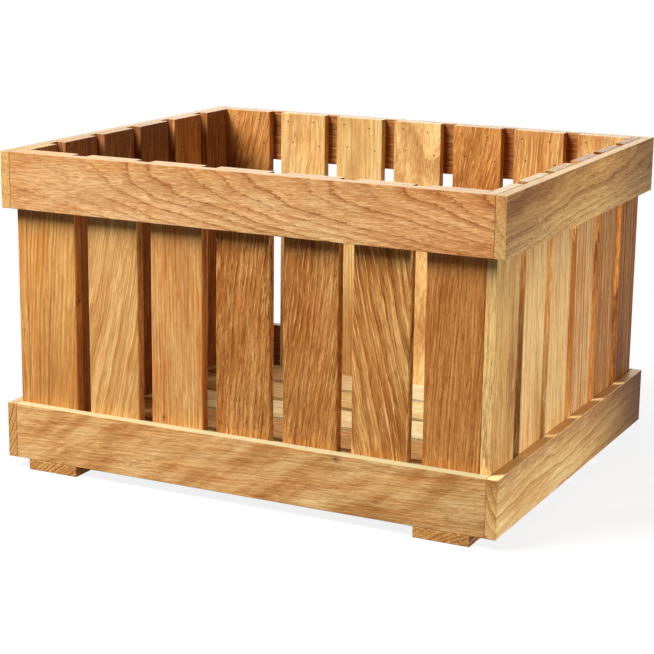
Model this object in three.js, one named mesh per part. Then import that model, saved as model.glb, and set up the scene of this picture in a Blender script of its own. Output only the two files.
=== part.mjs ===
// Slatted oak storage box for kindling and firewood.
//
// Two rings of rails, one at the top and one at the bottom, hold an inner skin of upright slats.
// The side rails run the full depth and the front and back rails fit between them. The side slats
// fill the space between the front and back rails, and the front and back slats stand between the
// side slats. Six floor boards lie between the walls on two runners, which lift the box off the hearth.
//
// Millimetres, +X to the right, +Y to the back, +Z up. The origin is on the ground, under the
// middle of the box.

import * as THREE from "three";

// ---------------------------------------------------------------- driving dimensions

const slatWidth = 53.4;
const slatThickness = 10;
const slatLength = 295; // from the bottom edge of the lower rails to the rim
const slatGap = 14.3; // open space between two slats of one wall
const frontSlatCount = 7; // the back wall has the same
const sideSlatCount = 6; // in each of the left and right walls

const railHeight = 53.4;
const railThickness = 10;

const floorBoardCount = 6;
const floorBoardThickness = 10;
const floorBoardGap = 10.25;
const floorEndClearance = 0.8; // from each end of a floor board to the side slats

const runnerWidth = 53.4;
const runnerThickness = 10;
const runnerInset = 23.5; // from the outer face of the side rails to the runner

const jointGap = 0.1; // between boards that meet
const arrisEase = 0.8; // chamfer that takes the sharpness off every edge

// ---------------------------------------------------------------- sizes that follow

const railSeat = railThickness + jointGap; // from a wall's outer face to its slats
const wallDepth = railSeat + slatThickness + jointGap; // from a wall's outer face to what stands inside it

const frontSlatSpan = spanOf(frontSlatCount, slatWidth, slatGap);
const sideSlatSpan = spanOf(sideSlatCount, slatWidth, slatGap);

const boxLength = frontSlatSpan + 2 * wallDepth;
const boxDepth = sideSlatSpan + 2 * railSeat;
const boxBase = runnerThickness + jointGap; // height of the rails' and slats' lower ends

const frontRailLength = boxLength - 2 * railSeat;
const sideRailLength = boxDepth;

const floorSpan = boxDepth - 2 * wallDepth; // from the front slats to the back slats
const floorBoardWidth = (floorSpan - (floorBoardCount - 1) * floorBoardGap) / floorBoardCount;
const floorBoardLength = boxLength - 2 * (wallDepth - jointGap + floorEndClearance);

// Length of a row of equal boards with equal gaps between them.
function spanOf(count, width, gap) {
  return count * width + (count - 1) * gap;
}

// Centres of the boards of such a row, measured from the middle of the row.
function rowCentres(count, width, gap) {
  const first = (width - spanOf(count, width, gap)) / 2;
  return Array.from({ length: count }, (_, i) => first + i * (width + gap));
}

// ---------------------------------------------------------------- finishes

const honeyOak = 0xc8915a;
const paleOak = 0xd7a56a;
const brownOak = 0xa8733f;
const rosyOak = 0xcd9058;
const creamOak = 0xdcb07c;

const oakRoughness = 0.55;

function oak(colour) {
  return new THREE.MeshStandardMaterial({ color: colour, roughness: oakRoughness, metalness: 0 });
}

// One colour for each slat of a wall, from left to right as seen from outside.
const frontSlatColours = [honeyOak, paleOak, honeyOak, brownOak, brownOak, rosyOak, brownOak];
const backSlatColours = [paleOak, brownOak, rosyOak, creamOak, honeyOak, paleOak, honeyOak];
const leftSlatColours = [brownOak, honeyOak, brownOak, brownOak, rosyOak, brownOak];
const rightSlatColours = [paleOak, creamOak, honeyOak, paleOak, rosyOak, rosyOak];
const floorBoardColours = [honeyOak, honeyOak, rosyOak, creamOak, paleOak, creamOak];

// ---------------------------------------------------------------- boards

// Cross-section of a board: a rectangle with its four corners cut off at 45 degrees.
function easedSection(width, thickness, ease) {
  const x = width / 2;
  const y = thickness / 2;
  const section = new THREE.Shape();
  section.moveTo(-x + ease, -y);
  section.lineTo(x - ease, -y);
  section.lineTo(x, -y + ease);
  section.lineTo(x, y - ease);
  section.lineTo(x - ease, y);
  section.lineTo(-x + ease, y);
  section.lineTo(-x, y - ease);
  section.lineTo(-x, -y + ease);
  section.closePath();
  return section;
}

// A planed board standing on end: width along X, thickness along Y, length along Z. Its centre is
// the mesh's origin, and the ends are eased like the long edges.
function board(name, width, thickness, length, colour) {
  const ease = Math.min(arrisEase, thickness / 4);
  const geometry = new THREE.ExtrudeGeometry(easedSection(width, thickness, ease), {
    depth: length - 2 * ease,
    bevelEnabled: true,
    bevelThickness: ease,
    bevelSize: ease,
    bevelOffset: -ease,
    bevelSegments: 1,
  });
  geometry.translate(0, 0, ease - length / 2);
  const mesh = new THREE.Mesh(geometry, oak(colour));
  mesh.name = name;
  return mesh;
}

// The same board on its long edge, with its length along X and its width upright.
function rail(name, length, colour) {
  const mesh = board(name, railHeight, railThickness, length, colour);
  mesh.rotation.y = Math.PI / 2;
  return mesh;
}

// The same board lying flat, with its length along Y.
function flatBoard(name, width, thickness, length, colour) {
  const mesh = board(name, width, thickness, length, colour);
  mesh.rotation.x = Math.PI / 2;
  return mesh;
}

// ---------------------------------------------------------------- walls

// A wall in its own frame: X to the right as seen from outside, Y into the box, Z up from the
// lower ends of the slats, with Y = 0 on the outer face of the rails.
function wall(side, railLength, slatCount, railColours, slatColours) {
  const group = new THREE.Group();

  const bottomRail = rail(`bottom_${side}_rail`, railLength, railColours.bottom);
  bottomRail.position.set(0, railThickness / 2, railHeight / 2);

  const topRail = rail(`top_${side}_rail`, railLength, railColours.top);
  topRail.position.set(0, railThickness / 2, slatLength - railHeight / 2);

  group.add(bottomRail, topRail);

  rowCentres(slatCount, slatWidth, slatGap).forEach((x, i) => {
    const colour = slatColours[i % slatColours.length];
    const slat = board(`${side}_slat_${i + 1}`, slatWidth, slatThickness, slatLength, colour);
    slat.position.set(x, railSeat + slatThickness / 2, slatLength / 2);
    group.add(slat);
  });
  return group;
}

function frontWall() {
  const colours = { bottom: paleOak, top: paleOak };
  const group = wall("front", frontRailLength, frontSlatCount, colours, frontSlatColours);
  group.position.set(0, -boxDepth / 2, boxBase);
  return group;
}

function backWall() {
  const colours = { bottom: honeyOak, top: creamOak };
  const group = wall("back", frontRailLength, frontSlatCount, colours, backSlatColours);
  group.position.set(0, boxDepth / 2, boxBase);
  group.rotation.z = Math.PI;
  return group;
}

function leftWall() {
  const colours = { bottom: honeyOak, top: honeyOak };
  const group = wall("left", sideRailLength, sideSlatCount, colours, leftSlatColours);
  group.position.set(-boxLength / 2, 0, boxBase);
  group.rotation.z = -Math.PI / 2;
  return group;
}

function rightWall() {
  const colours = { bottom: creamOak, top: creamOak };
  const group = wall("right", sideRailLength, sideSlatCount, colours, rightSlatColours);
  group.position.set(boxLength / 2, 0, boxBase);
  group.rotation.z = Math.PI / 2;
  return group;
}

// ---------------------------------------------------------------- floor and runners

// Boards across the box on top of the runners, numbered from the front.
function floor() {
  const group = new THREE.Group();
  rowCentres(floorBoardCount, floorBoardWidth, floorBoardGap).forEach((fromMiddle, i) => {
    const colour = floorBoardColours[i % floorBoardColours.length];
    const name = `floor_board_${i + 1}`;
    const plank = flatBoard(name, floorBoardWidth, floorBoardThickness, floorBoardLength, colour);
    plank.position.x = fromMiddle;
    group.add(plank);
  });
  group.rotation.z = Math.PI / 2;
  group.position.z = boxBase + floorBoardThickness / 2;
  return group;
}

// A board under one end of the box, from the front face to the back face.
function runner(side, direction) {
  const mesh = flatBoard(`${side}_runner`, runnerWidth, runnerThickness, boxDepth, honeyOak);
  mesh.position.x = direction * (boxLength / 2 - runnerInset - runnerWidth / 2);
  mesh.position.z = runnerThickness / 2;
  return mesh;
}

// ---------------------------------------------------------------- the box

const kindlingBox = new THREE.Group();
kindlingBox.add(frontWall(), backWall(), leftWall(), rightWall());
kindlingBox.add(floor(), runner("left", -1), runner("right", 1));

export default kindlingBox;
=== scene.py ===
"""Slatted oak box for kindling: the finish of its boards, the brads that hold them, and a plain studio.

Every board is modelled again at its exact size with rounded arrises and the faint waves of hand
sanding, and gets its own cut of oak: a solid pattern of growth rings, pores and fibres around a
pith line, so that faces, edges and end grain of one board belong together.
"""

import math
import random

import bmesh
import bpy
from mathutils import Matrix, Vector, noise


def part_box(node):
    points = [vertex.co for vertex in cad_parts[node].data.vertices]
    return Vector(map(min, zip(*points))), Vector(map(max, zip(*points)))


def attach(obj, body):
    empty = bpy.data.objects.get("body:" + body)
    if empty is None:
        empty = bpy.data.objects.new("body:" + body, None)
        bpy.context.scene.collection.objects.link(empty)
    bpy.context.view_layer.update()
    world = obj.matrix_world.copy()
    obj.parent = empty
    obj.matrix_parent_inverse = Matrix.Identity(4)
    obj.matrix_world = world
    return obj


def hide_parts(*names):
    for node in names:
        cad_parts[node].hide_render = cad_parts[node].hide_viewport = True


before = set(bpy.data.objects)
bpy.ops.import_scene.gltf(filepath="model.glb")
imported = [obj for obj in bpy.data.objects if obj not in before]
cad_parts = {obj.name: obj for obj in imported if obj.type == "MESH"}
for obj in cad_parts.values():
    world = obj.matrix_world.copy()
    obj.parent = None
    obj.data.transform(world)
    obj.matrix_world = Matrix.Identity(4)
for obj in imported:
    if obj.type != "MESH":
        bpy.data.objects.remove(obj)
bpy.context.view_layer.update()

MM = 0.001


# ---------------------------------------------------------------- camera

CAMERA_PLACE = (0.76397, -1.58164, 0.54808)
CAMERA_TURN = (76.395, -0.683, 26.303)  # degrees about X, Y and Z
CAMERA_LENS = 100.72
CAMERA_SENSOR = 36  # millimetres, as the lens is


def make_camera():
    data = bpy.data.cameras.new("camera")
    data.lens = CAMERA_LENS
    data.sensor_width = CAMERA_SENSOR
    camera = bpy.data.objects.new("camera", data)
    camera.location = CAMERA_PLACE
    camera.rotation_euler = [math.radians(turn) for turn in CAMERA_TURN]
    bpy.context.collection.objects.link(camera)
    bpy.context.scene.camera = camera


# ---------------------------------------------------------------- node trees


def srgb(red, green, blue):
    """A colour read off a screen, 0 to 255, as the linear colour that a shader takes."""

    def linear(value):
        share = value / 255
        return share / 12.92 if share <= 0.04045 else ((share + 0.055) / 1.055) ** 2.4

    return (linear(red), linear(green), linear(blue), 1.0)


class Tree:
    """Adds nodes to one node tree. An input takes a plain value or another node's output."""

    def __init__(self, tree):
        self.nodes = tree.nodes
        self.links = tree.links

    def node(self, kind, inputs=None, **settings):
        made = self.nodes.new(kind)
        for name, value in settings.items():
            setattr(made, name, value)
        for key, value in (inputs or {}).items():
            self.fill(made.inputs[key], value)
        return made

    def fill(self, socket, value):
        if isinstance(value, bpy.types.NodeSocket):
            self.links.new(value, socket)
        else:
            socket.default_value = value

    def math(self, operation, *values, clamp=False):
        inputs = dict(enumerate(values))
        return self.node("ShaderNodeMath", inputs, operation=operation, use_clamp=clamp).outputs[0]

    def vector(self, operation, *values):
        return self.node("ShaderNodeVectorMath", dict(enumerate(values)), operation=operation).outputs[0]

    def scaled(self, vector, factors):
        return self.vector("MULTIPLY", vector, factors)

    def vector_scale(self, vector, factor):
        return self.node("ShaderNodeVectorMath", {0: vector, "Scale": factor}, operation="SCALE").outputs[0]

    def length(self, vector):
        return self.node("ShaderNodeVectorMath", {0: vector}, operation="LENGTH").outputs["Value"]

    def axis(self, vector, letter):
        return self.node("ShaderNodeSeparateXYZ", {0: vector}).outputs[letter]

    def noise(self, vector, detail=2.0, output="Fac"):
        inputs = {"Vector": vector, "Scale": 1.0, "Detail": detail, "Roughness": 0.55}
        return self.node("ShaderNodeTexNoise", inputs).outputs[output]

    def ramp(self, value, low, high, to_low=0.0, to_high=1.0):
        """value from low..high to to_low..to_high, eased at both ends and held outside them."""
        inputs = {"Value": value, "From Min": low, "From Max": high, "To Min": to_low, "To Max": to_high}
        made = self.node("ShaderNodeMapRange", inputs, interpolation_type="SMOOTHSTEP", clamp=True)
        return made.outputs["Result"]

    def mix(self, factor, first, second, blend="MIX"):
        """Colours mixed by factor. The sockets go by number, as each name stands for several."""
        sockets = {0: factor, 6: first, 7: second}
        made = self.node("ShaderNodeMix", data_type="RGBA", blend_type=blend, clamp_factor=True)
        for index, value in sockets.items():
            self.fill(made.inputs[index], value)
        return made.outputs[2]

    def seen(self):
        """1 for what the eye sees, itself or in a gloss or a glass, and 0 for light on a dull surface."""
        path = self.node("ShaderNodeLightPath").outputs
        mirrored = self.math("MAXIMUM", path["Is Glossy Ray"], path["Is Transmission Ray"])
        return self.math("MAXIMUM", path["Is Camera Ray"], mirrored)


def new_group(name, inputs, outputs):
    """A node group with named sockets. Returns the group, its inner tree, its inputs and its output node."""
    group = bpy.data.node_groups.new(name, "ShaderNodeTree")
    kinds = {"vector": "NodeSocketVector", "value": "NodeSocketFloat", "colour": "NodeSocketColor"}
    for label, kind in inputs.items():
        group.interface.new_socket(label, in_out="INPUT", socket_type=kinds[kind])
    for label, kind in outputs.items():
        group.interface.new_socket(label, in_out="OUTPUT", socket_type=kinds[kind])
    tree = Tree(group)
    given = tree.node("NodeGroupInput").outputs
    result = tree.node("NodeGroupOutput")
    return group, tree, given, result


def place_group(tree, group, inputs):
    return tree.node("ShaderNodeGroup", inputs, node_tree=group).outputs


def new_material(name):
    """An empty material and its tree."""
    material = bpy.data.materials.new(name)
    material.use_nodes = True
    material.node_tree.nodes.clear()
    return material, Tree(material.node_tree)


def show(tree, shader):
    """Makes shader the surface of the tree's material."""
    output = tree.node("ShaderNodeOutputMaterial")
    tree.links.new(shader, output.inputs["Surface"])


# ---------------------------------------------------------------- oak
#
# In the groups, Position is in millimetres along the board, across its face and through its
# thickness, measured from the board's middle.

# How quickly each mark in the wood changes along, across and through a board, per millimetre.
GRAIN = {
    "slow drift": (0.007, 0.02, 0.02),
    "quick drift": (0.03, 0.07, 0.07),
    "ring teeth": (0.15, 0.6, 0.6),
    "ring gaps": (0.06, 0.35, 0.35),
    "long pores": (0.05, 0.52, 0.52),
    "short pores": (0.13, 0.95, 0.95),
    "streaks": (0.03, 0.42, 0.42),
    "fibres": (0.014, 0.85, 0.85),
    "clouds": (0.009, 0.04, 0.04),
    "blushes": (0.012, 0.05, 0.05),
    "ripples": (0.016, 0.07, 0.02),
}
QUICK_DRIFT_SHARE = 0.08
RIPPLE_TURN = -0.6  # radians that ripples are turned against the fibres
DRIFT_SEED_STEP = 91.7  # millimetres along the drifts from one board's seed to the next
FIBRE_SEED_STEP = 53.1  # the same along the fibres

WOOD_MASKS = ("Early Wood", "Ring Tone", "Pores", "Streaks", "Fibre", "Cloud", "Blush", "Ripple")


def wood_group():
    """The pattern inside a piece of oak, grown around a pith line that leans against it and wanders.

    Growth rings stand around that line. Pores, streaks and fine fibres run along it.
    """
    inputs = {
        "Position": "vector", "Pith": "vector", "Lean": "vector", "Ring Width": "value", "Band": "value",
        "Wander": "value", "Ragged": "value", "Fineness": "value", "Seed": "value",
    }
    group, tree, given, result = new_group("oak_wood", inputs, dict.fromkeys(WOOD_MASKS, "value"))

    def grain(place, mark, detail=2.0, output="Fac"):
        return tree.noise(tree.scaled(place, GRAIN[mark]), detail, output)

    # The place as measured from the pith line, which leans against the board and wanders.
    shift = tree.math("MULTIPLY", given["Seed"], DRIFT_SEED_STEP)
    seeded = tree.vector("ADD", given["Position"], tree.node("ShaderNodeCombineXYZ", {"X": shift}).outputs[0])
    half = (0.5, 0.5, 0.5)
    slow = tree.vector("SUBTRACT", grain(seeded, "slow drift", output="Color"), half)
    quick = tree.vector("SUBTRACT", grain(seeded, "quick drift", output="Color"), half)
    drift = tree.vector("ADD", slow, tree.scaled(quick, (QUICK_DRIFT_SHARE,) * 3))
    wander = tree.vector_scale(drift, given["Wander"])
    along = tree.axis(given["Position"], "X")
    centre = tree.vector("ADD", given["Pith"], tree.vector_scale(given["Lean"], along))
    grown = tree.vector("ADD", tree.vector("SUBTRACT", given["Position"], centre), wander)

    # The growth ring at that place, counted from the pith in years of uneven width.
    radius = tree.length(tree.scaled(grown, (0.0, 1.0, 1.0)))
    teeth = tree.math("SUBTRACT", grain(seeded, "ring teeth", 3.0), 0.5)
    radius = tree.math("ADD", radius, tree.math("MULTIPLY", teeth, given["Ragged"]))
    years = tree.math("DIVIDE", radius, given["Ring Width"])
    climate = tree.node("ShaderNodeTexNoise", {
        "W": tree.math("ADD", tree.math("MULTIPLY", years, 0.37), given["Seed"]),
        "Scale": 1.0, "Detail": 1.0}, noise_dimensions="1D").outputs[0]
    years = tree.math("ADD", years, tree.math("MULTIPLY", climate, 1.8))
    phase = tree.math("FRACT", years)
    ring = tree.math("ADD", tree.math("FLOOR", years), given["Seed"])
    tone = tree.node("ShaderNodeTexWhiteNoise", {"W": ring}, noise_dimensions="1D").outputs["Value"]

    # Early wood: a broken dark line where the year starts, and a band that fades away from it.
    line = tree.math("MULTIPLY", tree.ramp(phase, 0.0, 0.05), tree.ramp(phase, 0.08, 0.20, 1.0, 0.0))
    line = tree.math("MULTIPLY", line, tree.ramp(grain(seeded, "ring gaps", 3.0), 0.36, 0.60, 0.55, 1.0))
    fade = tree.math("MULTIPLY", tree.ramp(phase, 0.03, 0.12), tree.ramp(phase, 0.12, 0.75, 1.0, 0.0))
    early = tree.math("MAXIMUM", line, tree.math("MULTIPLY", fade, given["Band"]))

    # Pores gather in early wood, and pale streaks run between them.
    seed_place = tree.node("ShaderNodeCombineXYZ", {
        "X": tree.math("MULTIPLY", given["Seed"], FIBRE_SEED_STEP), "Y": given["Seed"]}).outputs[0]
    fibre_place = tree.vector("ADD", grown, seed_place)
    fine_place = tree.vector_scale(fibre_place, given["Fineness"])
    long_pores = tree.ramp(grain(fine_place, "long pores", 3.0), 0.50, 0.62)
    short_pores = tree.ramp(grain(fine_place, "short pores"), 0.52, 0.64)
    pores = tree.math("MULTIPLY_ADD", short_pores, 0.7, tree.math("MULTIPLY", long_pores, 0.8))
    pores = tree.math("MULTIPLY", pores, tree.math("MULTIPLY_ADD", early, 0.55, 0.45), clamp=True)
    streak_place = tree.vector("ADD", fine_place, (411.0, 37.0, 19.0))
    streaks = tree.ramp(grain(streak_place, "streaks", 3.0), 0.50, 0.64)

    # Broad marks: clouds of tone, warm blushes, and ripples that cross the fibres at a slant.
    blush_place = tree.vector("ADD", fibre_place, (900.0, 70.0, 7.0))
    ripple_place = tree.node("ShaderNodeVectorRotate", {
        "Vector": fibre_place, "Angle": RIPPLE_TURN}, rotation_type="Z_AXIS").outputs[0]
    values = {
        "Early Wood": early, "Ring Tone": tone, "Pores": pores, "Streaks": streaks,
        "Fibre": grain(fibre_place, "fibres", 4.0), "Cloud": grain(fibre_place, "clouds"),
        "Blush": tree.ramp(grain(blush_place, "blushes", 3.0), 0.46, 0.64),
        "Ripple": grain(ripple_place, "ripples", 3.0)}
    for name, value in values.items():
        tree.links.new(value, result.inputs[name])
    return group


KNOT_STRETCH = (0.6, 1.0, 0.3)  # under 1 draws a knot out along the board and through it


def knot_group():
    """A pin knot: a small dark eye with a softer rim, drawn out along the board."""
    inputs = {"Position": "vector", "Centre": "vector", "Radius": "value"}
    group, tree, given, result = new_group("oak_knot", inputs, {"Knot": "value"})
    offset = tree.scaled(tree.vector("SUBTRACT", given["Position"], given["Centre"]), KNOT_STRETCH)
    share = tree.math("DIVIDE", tree.length(offset), given["Radius"])
    eye = tree.ramp(share, 0.5, 1.2, 1.0, 0.0)
    rim = tree.ramp(share, 0.8, 4.0, 0.45, 0.0)
    tree.links.new(tree.math("MAXIMUM", eye, rim), result.inputs["Knot"])
    return group


FIBRE_SHADE = (0.83, 0.73, 0.60, 1.0)  # what the darkest and the palest fibres do to the colour
FIBRE_GLEAM = (1.12, 1.21, 1.34, 1.0)
WARM_TINGE = (1.0, 0.80, 0.62, 1.0)
# Colour that darkens a zone: stain on some boards, painted shade on others.
STAIN_AND_SHADE = (0.10, 0.045, 0.01, 1.0)
KNOT_HEART = (0.05, 0.015, 0.006, 1.0)

# The finish's strengths, by the option that sets each one for a board.
STRENGTHS = {
    "rings": "Ring Strength", "end_rings": "End Ring Strength", "pores": "Pore Strength",
    "streaks": "Streak Strength", "clouds": "Cloud Strength", "blush": "Blush Strength",
    "ripple": "Ripple Strength", "ends": "End Strength", "edges": "Edge Strength",
}


def finish_group():
    """Colour, roughness and relief of oiled oak from its masks."""
    colours = ("Light", "Middle", "Dark", "Edge Colour", "Rim Colour")
    places = ("Knot", "End Grain", "Edge", "Rim", "Stain And Shade", "Warmth")
    inputs = dict.fromkeys(colours, "colour")
    inputs.update(dict.fromkeys((*WOOD_MASKS, *places, *STRENGTHS.values()), "value"))
    outputs = {"Colour": "colour", "Roughness": "value", "Height": "value"}
    group, tree, given, result = new_group("oak_finish", inputs, outputs)

    def amount(mask, strength):
        return tree.math("MULTIPLY", given[mask], given[strength])

    # The body of the wood lies between the three shades, as its clouds, ripples and years have it.
    cloud = tree.math("MULTIPLY", tree.math("SUBTRACT", given["Cloud"], 0.5), given["Cloud Strength"])
    ripple = tree.math("MULTIPLY", tree.math("SUBTRACT", given["Ripple"], 0.5), given["Ripple Strength"])
    cloud = tree.math("ADD", cloud, ripple)
    tone = tree.math("MULTIPLY_ADD", cloud, 2.6, 0.06)
    tone = tree.math("MULTIPLY_ADD", given["Ring Tone"], 0.22, tone, clamp=True)
    ground = tree.mix(tone, given["Middle"], given["Light"])
    ground = tree.mix(tree.math("MULTIPLY", cloud, -2.2, clamp=True), ground, given["Dark"])
    sawn = tree.mix(amount("End Grain", "End Strength"), ground, given["Light"])
    rimmed = tree.mix(given["Rim"], sawn, given["Rim Colour"])

    # Marks in the wood: pale streaks, then rings, pores and knots, then the shine of single fibres.
    streaked = tree.mix(amount("Streaks", "Streak Strength"), rimmed, given["Light"])
    change = tree.math("SUBTRACT", given["End Ring Strength"], given["Ring Strength"])
    ring_strength = tree.math("MULTIPLY_ADD", given["End Grain"], change, given["Ring Strength"])
    ring = tree.math("MULTIPLY", given["Early Wood"], ring_strength)
    ring = tree.math("MULTIPLY", ring, tree.math("MULTIPLY_ADD", given["Ring Tone"], 0.9, 0.35))
    ringed = tree.mix(ring, streaked, given["Dark"])
    pored = tree.mix(amount("Pores", "Pore Strength"), ringed, given["Dark"])
    knot_colour = tree.mix(0.8, given["Dark"], KNOT_HEART)
    knotted = tree.mix(tree.math("MULTIPLY", given["Knot"], 0.9), pored, knot_colour)
    lines = tree.mix(tree.ramp(given["Fibre"], 0.34, 0.66), FIBRE_SHADE, FIBRE_GLEAM)
    fibred = tree.mix(1.0, knotted, lines, "MULTIPLY")

    # A warmer tinge, then darkening that is stain on some boards and painted shade on others, then light and
    # shade painted on the top edge.
    warmth = tree.math("MAXIMUM", amount("Blush", "Blush Strength"), given["Warmth"])
    warmed = tree.mix(warmth, fibred, WARM_TINGE, "MULTIPLY")
    # Darkening by stain and by painted shade, kept off the end grain.
    stain_and_shade = tree.math("MULTIPLY", given["Stain And Shade"], tree.math("SUBTRACT", 1.0, given["End Grain"]))
    stained_and_shaded = tree.mix(stain_and_shade, warmed, STAIN_AND_SHADE, "MULTIPLY")
    edge_painted = tree.mix(amount("Edge", "Edge Strength"), stained_and_shaded, given["Edge Colour"])
    tree.links.new(edge_painted, result.inputs["Colour"])

    rough = tree.math("MULTIPLY_ADD", given["Pores"], 0.16, 0.50)
    rough = tree.math("ADD", rough, tree.math("MULTIPLY", given["Fibre"], 0.10))
    tree.links.new(rough, result.inputs["Roughness"])
    sunk = tree.math("MULTIPLY_ADD", given["Pores"], -0.8, tree.math("MULTIPLY", given["Fibre"], 0.35))
    tree.links.new(sunk, result.inputs["Height"])
    return group


# Light streaks, body and pores of each shade of oak.
TINTS = {
    "honey": ((232, 180, 106), (211, 150, 80), (164, 99, 41)),
    "pale": ((234, 192, 124), (217, 165, 98), (170, 110, 52)),
    "rosy": ((230, 182, 113), (210, 156, 88), (162, 97, 43)),
    "blond": ((235, 195, 140), (220, 170, 113), (165, 104, 54)),
    "wheat": ((238, 196, 135), (216, 166, 103), (161, 101, 48)),
    "amber": ((234, 182, 110), (198, 134, 65), (140, 75, 24)),
    "russet": ((220, 162, 94), (189, 126, 60), (124, 61, 16)),
    "brown": ((212, 152, 84), (191, 125, 60), (138, 72, 23)),
    "chestnut": ((196, 140, 84), (160, 104, 56), (110, 55, 18)),
    "walnut": ((170, 112, 60), (140, 84, 42), (92, 40, 10)),
    "straw": ((246, 210, 148), (230, 188, 122), (182, 128, 68)),
    "sand": ((224, 184, 116), (200, 153, 87), (150, 95, 41)),
    "drab": ((222, 170, 104), (181, 133, 70), (128, 75, 27)),
    "dusk": ((207, 154, 90), (183, 129, 66), (125, 68, 21)),
    "umber": ((172, 119, 54), (143, 90, 34), (88, 38, 6)),
    "cream": ((236, 207, 145), (218, 181, 114), (170, 121, 62)),
    "barley": ((246, 201, 137), (223, 168, 102), (166, 103, 48)),
    "apricot": ((230, 180, 111), (209, 150, 84), (162, 94, 40)),
    "hay": ((242, 208, 144), (221, 179, 113), (168, 112, 56)),
    "tan": ((206, 168, 106), (187, 139, 80), (145, 91, 41)),
    "chalk": ((234, 229, 186), (218, 201, 153), (179, 145, 92)),
    "linen": ((227, 221, 170), (211, 192, 134), (165, 128, 74)),
    "oat": ((223, 220, 184), (208, 193, 151), (171, 139, 91)),
}

# Pith line and ring spacing for a way of sawing, in millimetres from the board's middle.
CUTS = {
    "cathedral": {"pith": (0, 4, 64), "lean": (0, 0.004, -0.07), "ring": 3.4, "wander": 12},
    "wide_cathedral": {"pith": (0, -6, 95), "lean": (0, -0.012, -0.06), "ring": 4.6, "wander": 16},
    "rift": {"pith": (0, -95, 80), "lean": (0, 0.02, 0.01), "ring": 3.4, "wander": 9},
    "quarter": {"pith": (0, 150, 12), "lean": (0, -0.012, 0.0), "ring": 3.2, "wander": 6},
}

# A planed face on which broad tones show more than pores do.
SOFT_FIGURE = {"pores": 0.45, "streaks": 0.35, "rings": 0.5, "band": 0.9, "clouds": 2.0, "blush": 0.4}

# Straight, even grain, with shade painted on the top edge.
EVEN_FIGURE = {"pith": (0, 150, 12), "lean": (0, -0.03, 0), "edges": 0.85}

# What a board has unless its cut or BOARDS says otherwise; a standing board's top edge gets painted light and
# shade.
PLAIN_BOARD = {
    "band": 0.6, "ragged": 0.7, "fine": 1.15, "rings": 0.7, "end_rings": 0.35, "pores": 0.75,
    "streaks": 0.75, "clouds": 1.0, "blush": 0.4, "ripple": 0.0, "ends": 0.3, "edges": 0.7,
    "edge": (154, 136, 106), "stain_and_shade": (), "warm": ()}
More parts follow.
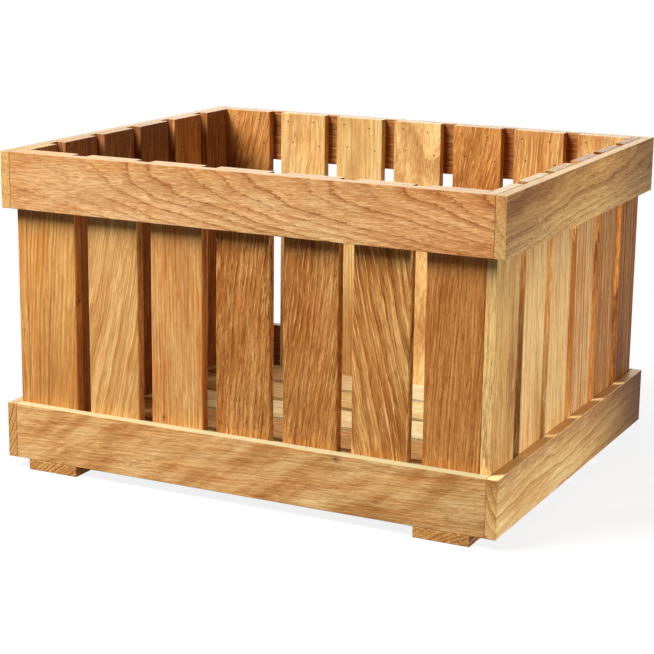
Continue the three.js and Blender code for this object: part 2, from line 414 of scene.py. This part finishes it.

# Every board's tint and cut, and what sets it apart. Slats are numbered from the left as seen from
# outside their wall, and floor boards from the front. Places are in millimetres from the board's
# middle, and shares run from 0 to 1.
#   pith, lean      the pith line at the board's middle, and how far it moves for each millimetre along
#   ring, band      width of the rings, and strength of the band that fades away from each one's line
#   wander, ragged  how far the rings wander in long sweeps and in short teeth
#   fine            how much finer the pores and streaks are
#   stain and shade, warm   zones, each with the places along the board where it starts and is full, and its share; the darker zones are stain on some boards and painted shade on others
#   calm            the same for one zone, in which the rings keep that share of their strength
#   rim             a side of the face, the depth in from it, and a colour
#   knot            place in the board, and radius
#   edge            colour painted on the top edge as its light and shade
BOARDS = {
    "top_front_rail": {
        "tint": "blond", "pith": (0, 29, 83), "lean": (0, 0.0, -0.11), "ring": 4.0, "wander": 10,
        "ragged": 2.0, "band": 0.3, "rings": 1.6, "pores": 0.7, "streaks": 0.5, "fine": 2.2,
        "rim": (1, 24, (208, 152, 93)), "warm": ((-170, -239, 0.7), (40, 239, 0.75)),
        "calm": (-90, -170, 0.3), "stain_and_shade": ((-150, -239, 0.08),)},
    "bottom_front_rail": {
        "tint": "barley", "pith": (0, -30, 120), "lean": (0, 0.04, -0.02), "ring": 5.0, "wander": 10,
        "band": 0.3, "rings": 0.35, "pores": 0.7, "streaks": 0.4, "fine": 2.1, "ripple": 1.4, "clouds": 0.6,
        "stain_and_shade": ((-239, 239, 0.13),), "knot": (99, 23, 5, 1.2), "edges": 0.9, "edge": (178, 170, 128)},
    # Painted light on the lower part of the face, as light from below, and painted shade towards both ends,
    # where the light falls off.
    "top_right_rail": {
        "tint": "drab", "pith": (0, 34, 70), "lean": (0, 0.03, 0.03), "ring": 4.8, "wander": 18,
        "rings": 0.8, "pores": 0.75, "fine": 1.9, "streaks": 0.5, "blush": 0.1,
        "rim": (-1, 44, (218, 178, 116)), "ends": 0.8, "stain_and_shade": ((-20, -230, 0.42), (30, 215, 0.6)),
        "end_rings": 0.4, "edge": (165, 135, 86)},
    # Darker towards its back end, partly its own tone and partly painted shade where the light falls off; its
    # top ledge, which lies in shade, is painted light.
    "bottom_right_rail": {
        "tint": "straw", "pith": (0, 60, 90), "lean": (0, 0.06, -0.01), "ring": 8.5, "wander": 18,
        "pores": 0.65, "fine": 1.7, "streaks": 0.5, "rings": 1.25, "band": 0.4, "ragged": 1.2,
        "rim": (1, 26, (170, 119, 70)), "stain_and_shade": ((-30, 215, 0.93),),
        "warm": ((-20, 90, 0.4), (-203, -205.5, 0.5)), "ends": 0.0, "end_rings": 1.6, "edges": 0.9,
        "edge": (254, 207, 140)},
    # Dark tints on the back rails paint the shade in which they are seen between the back slats.
    "top_back_rail": {"tint": "chestnut", "cut": "rift"},
    "bottom_back_rail": {"tint": "walnut", "cut": "rift"},
    "top_left_rail": {
        "tint": "pale", "cut": "rift", "pith": (0, 4, 110), "lean": (0, 0.02, 0.01), "end_rings": 0.6,
        "edge": (135, 124, 101)},
    "bottom_left_rail": {
        "tint": "rosy", "pith": (0, 45, -100), "lean": (0, 0.01, 0), "ring": 3.0, "wander": 4, "rings": 0.9,
        "end_rings": 1.4, "ends": 0.5},
    "front_slat_1": {
        "tint": "honey", "cut": "quarter", "lean": (0, 0.05, 0.0), "ring": 4.6, "wander": 10, "rings": 0.95,
        "pores": 0.5, "streaks": 0.5, "blush": 0.8, "stain_and_shade": ((60, -150, 0.11),)},
    "front_slat_2": {
        "tint": "pale", "pith": (0, -60, 95), "lean": (0, 0.20, 0.01), "ring": 5.0, "wander": 12,
        "pores": 0.5, "streaks": 0.5},
    "front_slat_3": {
        "tint": "apricot", "cut": "quarter", "ring": 2.6, "pores": 0.55, "streaks": 0.45, "blush": 1.0,
        "knot": (-88, -14, -5, 1.0), "warm": ((-85, -147, 0.8),)},
    "front_slat_4": {
        "tint": "russet", "pith": (0, -95, 80), "lean": (0, 0.09, 0.02), "ring": 4.0, "wander": 9,
        "ragged": 2.0, "pores": 1.15, "streaks": 0.9, "fine": 1.3, "rim": (1, 1.2, (255, 204, 122))},
    "front_slat_5": {
        "tint": "russet", "pith": (0, -80, 80), "lean": (0, 0.12, 0.03), "ring": 4.0, "wander": 10,
        "ragged": 1.5, "pores": 0.92, "streaks": 1.0, "fine": 1.4},
    "front_slat_6": {
        "tint": "amber", "pith": (0, -70, 90), "lean": (0, -0.20, 0.02), "ring": 6.0, "wander": 12,
        "rings": 1.0, "pores": 0.9, "streaks": 1.0, "rim": (1, 1.2, (255, 216, 134))},
    "front_slat_7": {
        "tint": "brown", "pith": (0, 100, 80), "lean": (0, 0.04, 0.01), "ring": 3.4, "wander": 8,
        "pores": 0.9, "fine": 1.3},
    "back_slat_1": {"tint": "pale", "cut": "cathedral", **SOFT_FIGURE},
    "back_slat_2": {
        "tint": "rosy", "pith": (0, -70, 80), "lean": (0, 0.1, 0.02), "ring": 4.4, "wander": 10,
        "pores": 0.6, "streaks": 0.9},
    "back_slat_3": {
        "tint": "russet", "pith": (0, -20, 90), "lean": (0, 0.2, 0.03), "ring": 4.6, "wander": 12,
        "pores": 0.9, "streaks": 1.0, "fine": 1.3},
    "back_slat_4": {
        "tint": "hay", "pith": (0, 14, 70), "lean": (0, 0.04, -0.12), "ring": 12.0, "wander": 12,
        **SOFT_FIGURE, "rings": 0.6, "pores": 0.3, "streaks": 0.3, "blush": 0.3, "clouds": 1.4},
    "back_slat_5": {
        "tint": "cream", "cut": "quarter", **SOFT_FIGURE, "rings": 0.3, "clouds": 0.9,
        "warm": ((30, -95, 1.0),), "stain_and_shade": ((30, -95, 0.26),)},
    "back_slat_6": {
        "tint": "hay", "pith": (0, 120, 40), "lean": (0, 0.06, 0), "ring": 6.0, "wander": 26, **SOFT_FIGURE,
        "rings": 0.4, "pores": 0.35, "streaks": 0.3, "clouds": 1.4},
    # Its tint and the darkening towards its foot paint the shadow that the left wall casts on it.
    "back_slat_7": {
        "tint": "russet", "pith": (0, -60, 70), "lean": (0, 0.2, 0.02), "ring": 4.6, "wander": 12,
        "streaks": 0.8, "stain_and_shade": ((130, 40, 0.78),)},
    # Slats 1 to 5 have dark tints that paint the shade inside the left wall, and on slats 2 to 5 the rim
    # paints shade on the edge face in each gap.
    "left_slat_1": {"tint": "chestnut", "cut": "rift"},
    "left_slat_2": {"tint": "brown", "cut": "quarter", "rim": (-1, 0.7, (133, 86, 50))},
    "left_slat_3": {"tint": "walnut", "cut": "rift", "rim": (-1, 0.7, (134, 84, 45))},
    "left_slat_4": {"tint": "chestnut", "cut": "cathedral", "rim": (-1, 0.7, (146, 92, 51))},
    "left_slat_5": {"tint": "chestnut", "cut": "quarter", "rim": (-1, 0.7, (136, 84, 44))},
    "left_slat_6": {"tint": "honey", "cut": "rift"},
    # Slats 1 to 5 are darker towards their tops, painted shade under the top rail, and slat 6 is darker
    # towards its foot. On slats 2 to 6 the rim paints light and shade on the edge face in each gap, and the
    # top edge is painted shade.
    "right_slat_1": {
        "tint": "sand", "pith": (0, 150, 12), "lean": (0, 0.03, 0), "ring": 6.0, "wander": 10,
        "rim": (-1, 1.5, (255, 214, 140)), "rings": 0.55, "pores": 0.65, "clouds": 1.9,
        "stain_and_shade": ((10, 147, 0.5),)},
    "right_slat_2": {
        "tint": "straw", **EVEN_FIGURE, "ring": 5.0, "wander": 8, "rings": 0.7, "clouds": 1.6,
        "rim": (-1, 0.7, (204, 137, 65)), "stain_and_shade": ((10, 147, 0.5),), "edge": (152, 130, 89)},
    "right_slat_3": {
        "tint": "straw", **EVEN_FIGURE, "ring": 6.0, "wander": 6, "rings": 0.85,
        "rim": (-1, 0.7, (202, 148, 72)), "stain_and_shade": ((10, 147, 0.5),), "edge": (126, 90, 36)},
    "right_slat_4": {
        "tint": "wheat", **EVEN_FIGURE, "ring": 7.0, "wander": 4, "rings": 1.5, "pores": 0.9, "clouds": 1.4,
        "rim": (-1, 0.7, (255, 180, 85)), "stain_and_shade": ((10, 147, 0.4),), "edge": (102, 68, 28)},
    "right_slat_5": {
        "tint": "dusk", **EVEN_FIGURE, "ring": 6.0, "wander": 5, "rings": 2.2, "pores": 0.9, "clouds": 1.5,
        "rim": (-1, 0.7, (198, 130, 62)), "stain_and_shade": ((10, 147, 0.4),), "edge": (106, 69, 25)},
    "right_slat_6": {
        "tint": "umber", **EVEN_FIGURE, "ring": 7.0, "wander": 5, "rings": 1.8, "pores": 0.9,
        "rim": (-1, 0.7, (214, 136, 60)), "stain_and_shade": ((0, -147, 0.42),), "edge": (108, 73, 25)},
    "floor_board_1": {"tint": "tan", "cut": "cathedral"},
    "floor_board_2": {"tint": "tan", "cut": "rift"},
    "floor_board_3": {"tint": "tan", "cut": "wide_cathedral"},
    "floor_board_4": {"tint": "chalk", "cut": "quarter", "warm": ((60, 5, 0.5),)},
    "floor_board_5": {
        "tint": "linen", "cut": "rift", "warm": ((35, -20, 0.9),), "stain_and_shade": ((35, -20, 0.12),)},
    "floor_board_6": {
        "tint": "oat", "cut": "quarter", "warm": ((8, -50, 1.0),), "stain_and_shade": ((8, -50, 0.05),)},
    "left_runner": {
        "tint": "amber", "pith": (0, 75, 85), "lean": (0, 0.01, 0), "ring": 3.2, "wander": 4, "rings": 0.9,
        "end_rings": 1.0},
    # The rim paints shadow on the runner's outer side.
    "right_runner": {
        "tint": "amber", "pith": (0, 60, 95), "lean": (0, 0.01, 0), "ring": 3.2, "wander": 4, "rings": 0.9,
        "end_rings": 0.7, "rim": (1, 1.2, (76, 58, 34))},
}

END_REACH = (0.5, 0.1)  # millimetres from a board's end where end grain starts and where it is full
EDGE_PAINT_REACH = (0.6 * MM, 0.1 * MM)  # how far under a board's top the light and shade painted on its top edge starts and is full
LYING_HEIGHT = 20 * MM  # a lower board lies flat, and gets no painted light and shade on its top edge
RIM_SHARE = 0.9  # how much of the face's colour a rim takes at its edge


def board_axes(size):
    """Turn from board axes (along, across, through) to the frame's, from a board's three sizes."""
    through, across, along = sorted(range(3), key=lambda axis: size[axis])
    turn = Matrix.Identity(3)
    for column, axis in enumerate((along, across, through)):
        for row in range(3):
            turn[row][column] = 1.0 if row == axis else 0.0
    if turn.determinant() < 0:
        turn.col[2] = -turn.col[2]
    return turn


def oak_material(name, board, centre, turn, length, width, height, seed, groups):
    """One board's oak, with its pattern turned and centred on the board."""
    light, middle, dark = (srgb(*colour) for colour in TINTS[board["tint"]])
    cut = {**PLAIN_BOARD, **CUTS[board.get("cut", "rift")], **board}
    material, tree = new_material("oak_" + name)

    place = tree.node("ShaderNodeTexCoord").outputs["Object"]
    back = turn.transposed()
    position = tree.node("ShaderNodeMapping", {
        "Vector": place, "Location": -(back @ centre) / MM, "Rotation": back.to_euler(),
        "Scale": (1 / MM, 1 / MM, 1 / MM)}).outputs[0]
    along = tree.axis(position, "X")
    wood = place_group(tree, groups["wood"], {
        "Position": position, "Pith": cut["pith"], "Lean": cut["lean"], "Ring Width": cut["ring"],
        "Band": cut["band"], "Wander": cut["wander"], "Ragged": cut["ragged"], "Fineness": cut["fine"],
        "Seed": seed})

    masks = {mask: wood[mask] for mask in WOOD_MASKS}
    masks.update({strength: cut[option] for option, strength in STRENGTHS.items()})
    masks.update({"Light": light, "Middle": middle, "Dark": dark, "Edge Colour": srgb(*cut["edge"])})
    end = length / MM / 2
    masks["End Grain"] = tree.ramp(tree.math("ABSOLUTE", along), end - END_REACH[0], end - END_REACH[1])
    # A standing board gets light and shade painted on its top edge.
    if height > LYING_HEIGHT:
        top = centre.z + height / 2
        masks["Edge"] = tree.ramp(tree.axis(place, "Z"), top - EDGE_PAINT_REACH[0], top - EDGE_PAINT_REACH[1])
    # Zones along the board that darken it, as stain on some boards and as painted shade on others, and zones
    # that warm it.
    for option, mask in (("stain_and_shade", "Stain And Shade"), ("warm", "Warmth")):
        masks[mask] = 0.0
        for start, full, share in cut[option]:
            masks[mask] = tree.math("ADD", masks[mask], tree.ramp(along, start, full, 0.0, share))
    if "calm" in cut:
        start, full, share = cut["calm"]
        masks["Ring Strength"] = tree.ramp(along, start, full, cut["rings"], cut["rings"] * share)
    # A rim of colour along one side of the face: the board's tone on some boards, painted light and shade on
    # an edge face on others.
    if "rim" in cut:
        side, depth, colour = cut["rim"]
        across = tree.math("MULTIPLY", tree.axis(position, "Y"), side)
        edge = width / MM / 2
        masks["Rim"] = tree.ramp(across, edge - depth, edge, 0.0, RIM_SHARE)
        masks["Rim Colour"] = srgb(*colour)
    if "knot" in cut:
        masks["Knot"] = place_group(tree, groups["knot"], {
            "Position": position, "Centre": cut["knot"][:3], "Radius": cut["knot"][3]})["Knot"]
    look = place_group(tree, groups["finish"], masks)

    bump = tree.node("ShaderNodeBump", {"Height": look["Height"], "Strength": 0.4, "Distance": 0.15 * MM})
    shader = tree.node("ShaderNodeBsdfPrincipled", {
        "Base Color": look["Colour"], "Roughness": look["Roughness"], "IOR": 1.45,
        "Specular IOR Level": 0.15, "Normal": bump.outputs["Normal"]})
    show(tree, shader.outputs["BSDF"])
    return material


# ---------------------------------------------------------------- boards

ARRIS_RADIUS = 0.5 * MM
ARRIS_STEPS = 3
FLAT_MARGIN = 0.2 * MM  # strip next to an arris that keeps the rest of the face flat when smooth shaded
BOARD_CREASE = 50  # degrees between two faces over which a board's shading breaks

SANDING_WAVE = 0.12 * MM  # deepest dip that sanding leaves in a face
WAVE_STEP = 14 * MM  # distance between the rings of vertices that carry the waves
WAVE_LENGTH = 60  # millimetres along a board for each wave
WAVE_SEED_STEP = 211.0  # millimetres along the waves from one board's seed to the next
WAVE_PHASES = {1: 0.0, 2: 40.0}  # where the waves start across the board (1) and through it (2)

BOARD_SLOTS = {"rail": "oak_rails", "slat": "oak_slats", "floor": "oak_floor", "runner": "oak_runners"}


def slot_of(node):
    return next(slot for word, slot in BOARD_SLOTS.items() if word in node)


def add_piece(name, shape, material, crease=None):
    """A new object at the origin from a bmesh. With a crease, it is shaded smooth up to that angle."""
    mesh = bpy.data.meshes.new(name)
    shape.to_mesh(mesh)
    shape.free()
    if crease:
        mesh.shade_smooth()
        mesh.set_sharp_from_angle(angle=math.radians(crease))
    mesh.materials.append(material)
    piece = bpy.data.objects.new(name, mesh)
    bpy.context.collection.objects.link(piece)
    return piece


def board_shape(length, width, thickness, seed):
    """A board in its own axes around the origin, with rounded arrises and sanded faces."""
    shape = bmesh.new()
    bmesh.ops.create_cube(shape, size=1)
    bmesh.ops.scale(shape, vec=(length, width, thickness), verts=shape.verts)
    bmesh.ops.bevel(
        shape, geom=shape.edges[:], offset=ARRIS_RADIUS, offset_type="OFFSET", segments=ARRIS_STEPS,
        profile=0.5, affect="EDGES", material=-1)

    # Rings of vertices all along the board, and one beside the arrises of every face.
    cuts = int(length / WAVE_STEP)
    planes = [(0, length * (i / cuts - 0.5)) for i in range(1, cuts)]
    for axis, size in enumerate((length, width, thickness)):
        flat = size / 2 - ARRIS_RADIUS - FLAT_MARGIN
        planes += [(axis, -flat), (axis, flat)]
    for axis, place in planes:
        everything = shape.verts[:] + shape.edges[:] + shape.faces[:]
        normal = Vector((axis == 0, axis == 1, axis == 2))
        bmesh.ops.bisect_plane(shape, geom=everything, plane_co=normal * place, plane_no=normal)

    for vertex in shape.verts:
        along = vertex.co.x / MM + seed * WAVE_SEED_STEP
        for axis, phase in WAVE_PHASES.items():
            side = math.copysign(1, vertex.co[axis])
            wave = noise.noise(Vector((along / WAVE_LENGTH, phase + side, seed)))
            vertex.co[axis] -= side * SANDING_WAVE * (0.5 + 0.5 * wave)
    return shape


def make_board(node, board, seed, groups):
    low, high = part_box(node)
    size = high - low
    centre = (low + high) / 2
    turn = board_axes(size)
    length, width, thickness = sorted(size, reverse=True)
    shape = board_shape(length, width, thickness, seed)
    bmesh.ops.transform(shape, matrix=Matrix.Translation(centre) @ turn.to_4x4(), verts=shape.verts)
    material = oak_material(node, board, centre, turn, length, width, size.z, seed, groups)
    piece = add_piece("oak_" + node, shape, material, BOARD_CREASE)
    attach(piece, "root")
    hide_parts(node)
    slot_of(node)


def make_boards():
    groups = {"wood": wood_group(), "knot": knot_group(), "finish": finish_group()}
    for number, (node, board) in enumerate(BOARDS.items(), start=1):
        make_board(node, board, number, groups)


# ---------------------------------------------------------------- brads

BRAD_HEAD = 1.6 * MM
BRAD_SHANK = 1.2 * MM
BRAD_LENGTH = 17 * MM
BRAD_SIDES = 10
BRAD_PROUD = 0.1 * MM
BRAD_CREASE = 40  # degrees between two faces over which a brad's shading breaks
BRAD_SEED = 7
NECK_DEPTH = 0.7 * MM  # depth under a head's place at which the shank ends
# From the neck up: how wide each step of the head is against the one below, and how far it rises.
HEAD_STEPS = ((BRAD_HEAD / BRAD_SHANK, 0.0), (1.0, 0.65 * MM), (0.72, 0.15 * MM))

RUNNERS = ("left_runner", "right_runner")
# The way into the box from each wall.
INWARD = {"front": (0, 1, 0), "back": (0, -1, 0), "left": (1, 0, 0), "right": (-1, 0, 0)}
TARNISH_SCALE = 900.0  # patches of tarnish in a metre


def steel_material():
    """Bright steel gone dull and dark in the oak's tannin."""
    material, tree = new_material("tarnished_steel")
    place = tree.node("ShaderNodeTexCoord").outputs["Object"]
    tarnish = tree.noise(tree.scaled(place, (TARNISH_SCALE,) * 3), 3.0)
    colour = tree.mix(tarnish, (0.022, 0.011, 0.006, 1), (0.070, 0.042, 0.028, 1))
    shader = tree.node("ShaderNodeBsdfPrincipled", {
        "Base Color": colour, "Metallic": 0.35, "Specular IOR Level": 0.3,
        "Roughness": tree.ramp(tarnish, 0.3, 0.7, 0.60, 0.78)})
    show(tree, shader.outputs["BSDF"])
    return material


def add_brad(shape, place, outward):
    """One brad driven in against outward, its domed head just proud of place."""
    made = bmesh.ops.create_cone(
        shape, cap_ends=True, segments=BRAD_SIDES, radius1=BRAD_SHANK / 4, radius2=BRAD_SHANK / 2,
        depth=BRAD_LENGTH)["verts"]
    bmesh.ops.translate(shape, vec=(0, 0, -BRAD_LENGTH / 2 - NECK_DEPTH), verts=made)
    top = max(made, key=lambda vertex: vertex.co.z)
    cap = max(top.link_faces, key=lambda face: face.calc_center_median().z)
    for grow, rise in HEAD_STEPS:
        cap = bmesh.ops.extrude_discrete_faces(shape, faces=[cap])["faces"][0]
        middle = cap.calc_center_median()
        for vertex in cap.verts:
            vertex.co = middle + (vertex.co - middle) * grow + Vector((0, 0, rise))
        made += cap.verts[:]
    aim = Vector((0, 0, 1)).rotation_difference(outward).to_matrix().to_4x4()
    spot = place + outward * BRAD_PROUD
    bmesh.ops.transform(shape, matrix=Matrix.Translation(spot) @ aim, verts=list(set(made)))


def finish_brads(shape, name, steel):
    bmesh.ops.recalc_face_normals(shape, faces=shape.faces)
    piece = add_piece(name, shape, steel, BRAD_CREASE)
    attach(piece, "root")


def boards_called(start):
    return [node for node in BOARDS if node.startswith(start)]


def stray(rng, reach):
    """How far a hand misses its mark, up to reach in millimetres either way."""
    return rng.uniform(-reach, reach) * MM


def rows_of_brads(node, outward, spots, rng):
    """Places on a slat's face for brads, given as shares of its width and heights in millimetres."""
    low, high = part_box(node)
    face = high if sum(outward) > 0 else low
    across = 1 if abs(outward.x) > 0.5 else 0
    for share, height in spots:
        place = (low + high) / 2
        for axis in range(3):
            if abs(outward[axis]) > 0.5:
                place[axis] = face[axis]
        width = high[across] - low[across]
        place[across] = low[across] + width * share + stray(rng, 1.2)
        place.z = height * MM + stray(rng, 1.0)
        yield place


def nail_slats(rng, steel):
    """Four brads at each end of every slat, driven into the rails from inside the box."""
    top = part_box("top_front_rail")[1].z / MM
    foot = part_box("bottom_front_rail")[0].z / MM
    heights = ((0.17, top - 8), (0.73, top - 9), (0.26, top - 31), (0.86, top - 34),
               (0.12, foot + 36), (0.78, foot + 34), (0.15, foot + 17), (0.82, foot + 18))
    for wall, inward in INWARD.items():
        shape = bmesh.new()
        for node in boards_called(f"{wall}_slat_"):
            for place in rows_of_brads(node, Vector(inward), heights, rng):
                add_brad(shape, place, Vector(inward))
        finish_brads(shape, f"{wall}_slat_brads", steel)


def nail_floor(rng, steel):
    """Two brads wherever a floor board crosses a runner."""
    shape = bmesh.new()
    for node in boards_called("floor_board_"):
        low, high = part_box(node)
        for runner in RUNNERS:
            under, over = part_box(runner)
            for share in (0.28, 0.72):
                x = (under.x + over.x) / 2 + stray(rng, 6)
                y = low.y + (high.y - low.y) * share + stray(rng, 1.5)
                add_brad(shape, Vector((x, y, high.z)), Vector((0, 0, 1)))
    finish_brads(shape, "floor_board_brads", steel)


def nail_runners(rng, steel):
    """Two brads at each end of a runner, sunk so that the box stands on wood."""
    shape = bmesh.new()
    for runner in RUNNERS:
        under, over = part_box(runner)
        for y in (under.y + 5 * MM, over.y - 5 * MM):
            for share in (0.3, 0.7):
                x = under.x + (over.x - under.x) * share + stray(rng, 1.5)
                add_brad(shape, Vector((x, y, under.z + 2 * BRAD_PROUD)), Vector((0, 0, -1)))
    finish_brads(shape, "runner_brads", steel)


def make_brads():
    steel = steel_material()
    rng = random.Random(BRAD_SEED)
    nail_slats(rng, steel)
    nail_floor(rng, steel)
    nail_runners(rng, steel)


# ---------------------------------------------------------------- studio

BOX_MIDDLE = (0, 0, 0.15)

# Every lamp's place, the spot that it faces, its width, its height and its power in watts.
LAMPS = {
    "key_light": ((-1.17, -1.26, 2.10), BOX_MIDDLE, 1.1, 1.4, 142),
    "top_light": ((-0.8, -0.45, 2.2), BOX_MIDDLE, 0.8, 1.0, 9),
    "side_light": ((1.35, -0.15, 0.17), (0, -0.05, 0.15), 0.9, 0.28, 12.5),
    "back_light": ((-0.7, 2.2, 0.6), BOX_MIDDLE, 1.6, 0.8, 32),
}

STUDIO_GLOW = 0.02  # strength of the light that the white surroundings give the box
FLOOR_REACH = 12  # metres from the floor's middle to its sides
FLOOR_FADE = (0.35, 0.9)  # metres from the middle where the floor starts to fade to white, and is white


def area_light(name, place, aim, width, height, power):
    data = bpy.data.lights.new(name, "AREA")
    data.shape = "RECTANGLE"
    data.size = width
    data.size_y = height
    data.energy = power
    light = bpy.data.objects.new(name, data)
    light.location = place
    light.visible_camera = False
    light.rotation_euler = (Vector(aim) - Vector(place)).to_track_quat("-Z", "Y").to_euler()
    bpy.context.collection.objects.link(light)


def make_lights():
    for name, lamp in LAMPS.items():
        area_light(name, *lamp)


def make_world():
    """White to the eye and in reflections, and almost dark as a lamp."""
    world = bpy.data.worlds.new("studio")
    bpy.context.scene.world = world
    world.use_nodes = True
    world.node_tree.nodes.clear()
    tree = Tree(world.node_tree)
    strength = tree.math("MULTIPLY_ADD", tree.seen(), 1 - STUDIO_GLOW, STUDIO_GLOW)
    background = tree.node("ShaderNodeBackground", {"Color": (1, 1, 1, 1), "Strength": strength})
    output = tree.node("ShaderNodeOutputWorld")
    tree.links.new(background.outputs[0], output.inputs["Surface"])


def floor_material():
    """Paper that keeps the box's shadow, throws little light back at it and fades to white."""
    material, tree = new_material("pale_floor")
    seen = tree.seen()
    distance = tree.length(tree.node("ShaderNodeTexCoord").outputs["Object"])
    pale = tree.mix(seen, (0.05, 0.05, 0.05, 1), (0.85, 0.85, 0.85, 1))
    paper = tree.node("ShaderNodeBsdfDiffuse", {"Color": pale}).outputs[0]
    white = tree.node("ShaderNodeEmission", {"Color": (1, 1, 1, 1), "Strength": 1.0}).outputs[0]
    share = tree.math("MULTIPLY", tree.ramp(distance, *FLOOR_FADE, 0.86, 1.0), seen)
    show(tree, tree.node("ShaderNodeMixShader", {0: share, 1: paper, 2: white}).outputs[0])
    return material


def make_floor():
    shape = bmesh.new()
    bmesh.ops.create_grid(shape, x_segments=1, y_segments=1, size=FLOOR_REACH)
    floor = add_piece("floor", shape, floor_material())


# ---------------------------------------------------------------- the scene

make_camera()
make_boards()
make_brads()
make_lights()
make_world()
make_floor()

bpy.context.scene.view_settings.view_transform = "Standard"
